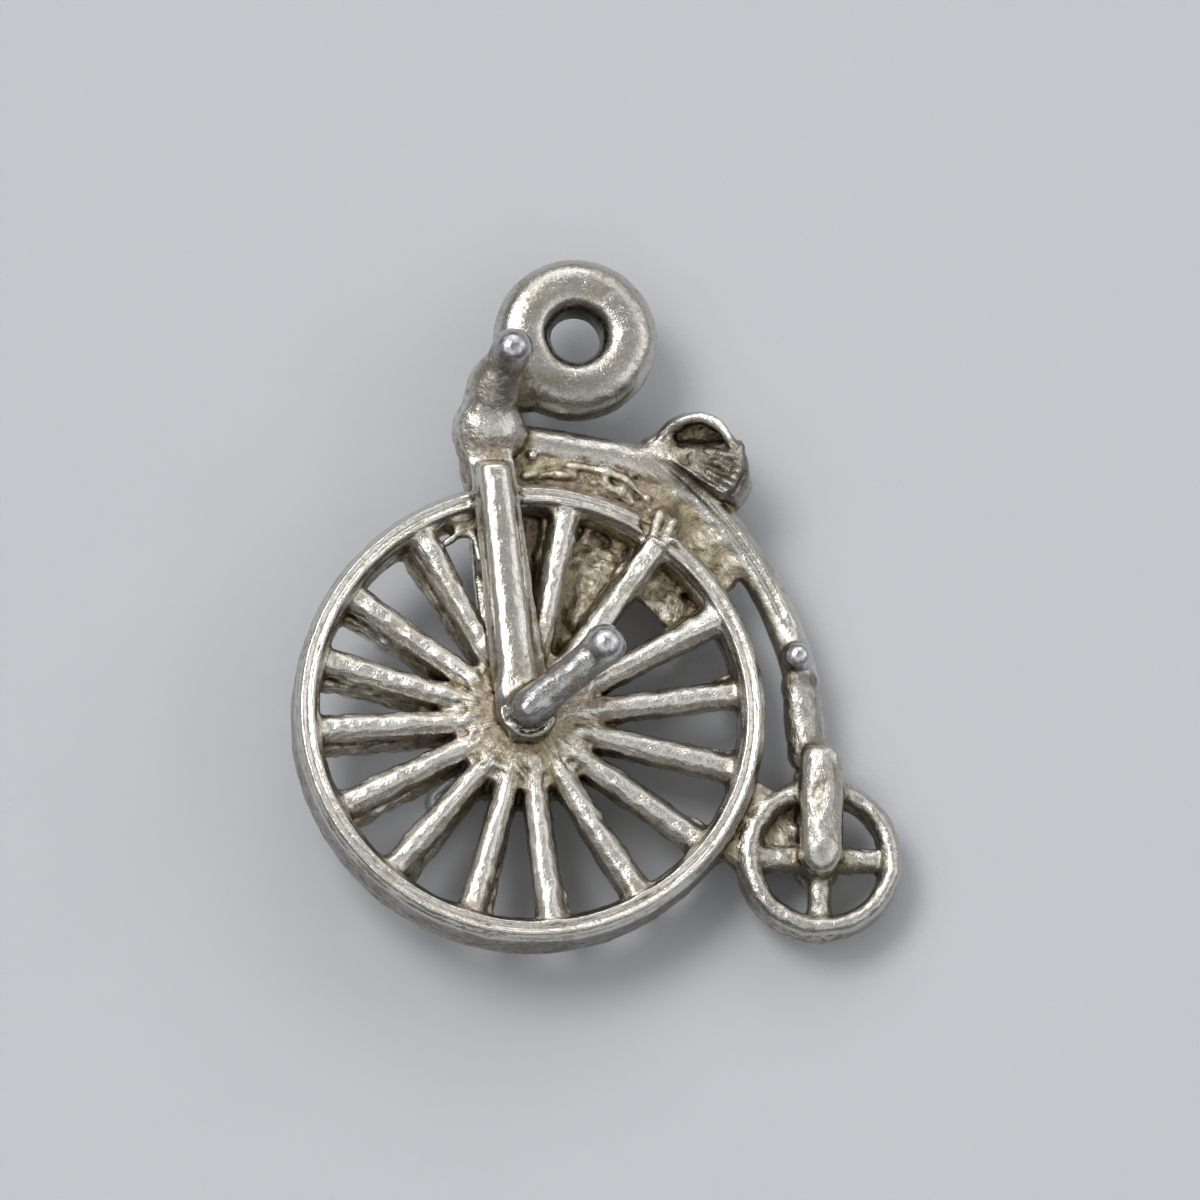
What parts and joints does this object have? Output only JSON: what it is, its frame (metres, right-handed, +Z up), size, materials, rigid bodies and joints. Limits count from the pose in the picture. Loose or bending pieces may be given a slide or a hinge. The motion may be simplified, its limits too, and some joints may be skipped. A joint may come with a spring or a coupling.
{
  "type": "cast silver penny farthing charm",
  "caption": "Tarnished cast silver charm of a penny farthing bicycle lying on its side, with a bail ring above the handlebar for hanging it on a bracelet or chain.",
  "frame": {"origin": "centre of the bounding box at the surface the charm lies on", "axes": "+Z up, away from the surface, near side of the bicycle up; +Y from the wheels to the bail ring; +X from the big wheel to the small one. The bicycle's own plane leans by the few degrees at which the charm rests on its far grip, far pedal and far rear fork end"},
  "size_m": [0.0194, 0.0226, 0.0059],
  "materials": {
    "silver_cast": "cast sterling silver, worn bright on raised edges, yellow-brown tarnish in recesses",
    "silver_polished": "cast sterling silver rubbed bright and grey by wear",
    "silver_rough": "rough unfinished casting skin, pitted, yellow-brown tarnish"
  },
  "bodies": {
    "root": {"front_rim": "silver_cast", "front_hub": "silver_cast", "front_spokes_near": "silver_cast", "front_spokes_far": "silver_cast", "spoke_web_plates": "silver_rough", "fork_blade_near": "silver_cast", "fork_blade_far": "silver_cast", "fork_crown": "silver_cast", "steering_head": "silver_cast", "handlebar": "silver_cast", "grip_near": "silver_polished", "grip_far": "silver_polished", "bail_ring": "silver_cast", "bail_stem": "silver_cast", "backbone": "silver_cast", "step_ball": "silver_polished", "backbone_neck": "silver_cast", "saddle": "silver_cast", "saddle_stem": "silver_cast", "rim_web": "silver_rough", "web_lump": "silver_rough", "wheel_bridge": "silver_rough", "rear_rim": "silver_cast", "rear_hub": "silver_cast", "rear_spokes": "silver_cast", "rear_quarter_web": "silver_rough", "rear_fork_near": "silver_cast", "rear_fork_far": "silver_cast", "rear_fork_crown": "silver_cast", "crank_near": "silver_polished", "crank_far": "silver_polished", "pedal_near": "silver_polished", "pedal_far": "silver_polished"}
  },
  "joints": []
}
